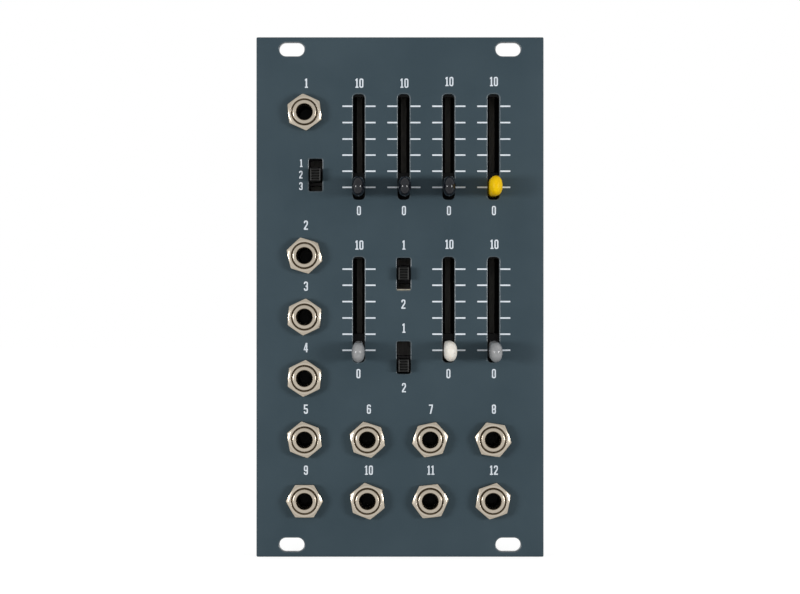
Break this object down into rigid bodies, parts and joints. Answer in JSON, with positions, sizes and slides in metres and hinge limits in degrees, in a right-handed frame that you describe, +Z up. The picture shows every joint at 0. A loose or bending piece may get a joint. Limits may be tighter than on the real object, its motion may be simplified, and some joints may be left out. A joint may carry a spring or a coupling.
{
  "type": "eurorack module",
  "caption": "Tall synthesizer module: painted front panel with slide potentiometers, slide switches and jacks on a board behind it, hung by its panel in a rack.",
  "frame": {"origin": "on the front panel's rear face, midway between the two lower rail slots", "axes": "+Z up along the panel, +Y from the panel's rear face towards the board and the rack, +X to the right as seen from the front"},
  "size_m": [0.071, 0.0327, 0.1285],
  "materials": {
    "panel_paint": "slate paint, satin",
    "nut_nickel": "nickel plate, bright",
    "bushing_nickel": "nickel plate, bright",
    "jack_moulding": "satin",
    "can_steel": "black, satin",
    "lever_smoke": "clear smoke, gloss",
    "lever_yellow": "diffuse yellow, gloss",
    "lever_grey": "milky grey, gloss",
    "lever_white": "diffuse white, gloss",
    "switch_moulding": "satin",
    "knob_moulding": "satin",
    "board_laminate": "solder mask, satin",
    "header_moulding": "satin",
    "chip_moulding": "matte"
  },
  "bodies": {
    "module": {"front_panel": "panel_paint", "gate_jack_nut": "nut_nickel", "gate_jack_bushing": "bushing_nickel", "gate_jack_housing": "jack_moulding", "signal_in_jack_nut": "nut_nickel", "signal_in_jack_bushing": "bushing_nickel", "signal_in_jack_housing": "jack_moulding", "reference_in_jack_nut": "nut_nickel", "reference_in_jack_bushing": "bushing_nickel", "reference_in_jack_housing": "jack_moulding", "modulation_out_jack_nut": "nut_nickel", "modulation_out_jack_bushing": "bushing_nickel", "modulation_out_jack_housing": "jack_moulding", "envelope_out_jack_nut": "nut_nickel", "envelope_out_jack_bushing": "bushing_nickel", "envelope_out_jack_housing": "jack_moulding", "pitch_in_jack_nut": "nut_nickel", "pitch_in_jack_bushing": "bushing_nickel", "pitch_in_jack_housing": "jack_moulding", "oscillator_out_jack_nut": "nut_nickel", "oscillator_out_jack_bushing": "bushing_nickel", "oscillator_out_jack_housing": "jack_moulding", "depth_in_jack_nut": "nut_nickel", "depth_in_jack_bushing": "bushing_nickel", "depth_in_jack_housing": "jack_moulding", "attack_in_jack_nut": "nut_nickel", "attack_in_jack_bushing": "bushing_nickel", "attack_in_jack_housing": "jack_moulding", "decay_in_jack_nut": "nut_nickel", "decay_in_jack_bushing": "bushing_nickel", "decay_in_jack_housing": "jack_moulding", "sustain_in_jack_nut": "nut_nickel", "sustain_in_jack_bushing": "bushing_nickel", "sustain_in_jack_housing": "jack_moulding", "release_in_jack_nut": "nut_nickel", "release_in_jack_bushing": "bushing_nickel", "release_in_jack_housing": "jack_moulding", "attack_slider_can": "can_steel", "decay_slider_can": "can_steel", "sustain_slider_can": "can_steel", "release_slider_can": "can_steel", "envelope_amount_slider_can": "can_steel", "speed_slider_can": "can_steel", "depth_slider_can": "can_steel", "waveform_switch_body": "switch_moulding", "speed_depth_switch_body": "switch_moulding", "vco_lfo_switch_body": "switch_moulding", "control_board": "board_laminate", "power_header": "header_moulding", "main_chip": "chip_moulding"},
    "attack_lever": {"attack_slider_lever": "lever_smoke"},
    "decay_lever": {"decay_slider_lever": "lever_smoke"},
    "sustain_lever": {"sustain_slider_lever": "lever_smoke"},
    "release_lever": {"release_slider_lever": "lever_yellow"},
    "envelope_amount_lever": {"envelope_amount_slider_lever": "lever_grey"},
    "speed_lever": {"speed_slider_lever": "lever_white"},
    "depth_lever": {"depth_slider_lever": "lever_grey"},
    "waveform_knob": {"waveform_switch_knob": "knob_moulding"},
    "speed_depth_knob": {"speed_depth_switch_knob": "knob_moulding"},
    "vco_lfo_knob": {"vco_lfo_switch_knob": "knob_moulding"}
  },
  "joints": [
    {"name": "attack_slide", "type": "slide", "parent": "module", "child": "attack_lever", "axis": [0, 0, 1], "range_m": [0, 0.02]},
    {"name": "decay_slide", "type": "slide", "parent": "module", "child": "decay_lever", "axis": [0, 0, 1], "range_m": [0, 0.02]},
    {"name": "sustain_slide", "type": "slide", "parent": "module", "child": "sustain_lever", "axis": [0, 0, 1], "range_m": [0, 0.02]},
    {"name": "release_slide", "type": "slide", "parent": "module", "child": "release_lever", "axis": [0, 0, 1], "range_m": [0, 0.02]},
    {"name": "envelope_amount_slide", "type": "slide", "parent": "module", "child": "envelope_amount_lever", "axis": [0, 0, 1], "range_m": [0, 0.02]},
    {"name": "speed_slide", "type": "slide", "parent": "module", "child": "speed_lever", "axis": [0, 0, 1], "range_m": [0, 0.02]},
    {"name": "depth_slide", "type": "slide", "parent": "module", "child": "depth_lever", "axis": [0, 0, 1], "range_m": [0, 0.02]},
    {"name": "waveform_switch_slide", "type": "slide", "parent": "module", "child": "waveform_knob", "axis": [0, 0, 1], "range_m": [-0.002, 0.002]},
    {"name": "speed_depth_switch_slide", "type": "slide", "parent": "module", "child": "speed_depth_knob", "axis": [0, 0, 1], "range_m": [-0.002, 0.002]},
    {"name": "vco_lfo_switch_slide", "type": "slide", "parent": "module", "child": "vco_lfo_knob", "axis": [0, 0, 1], "range_m": [0, 0.004]}
  ]
}
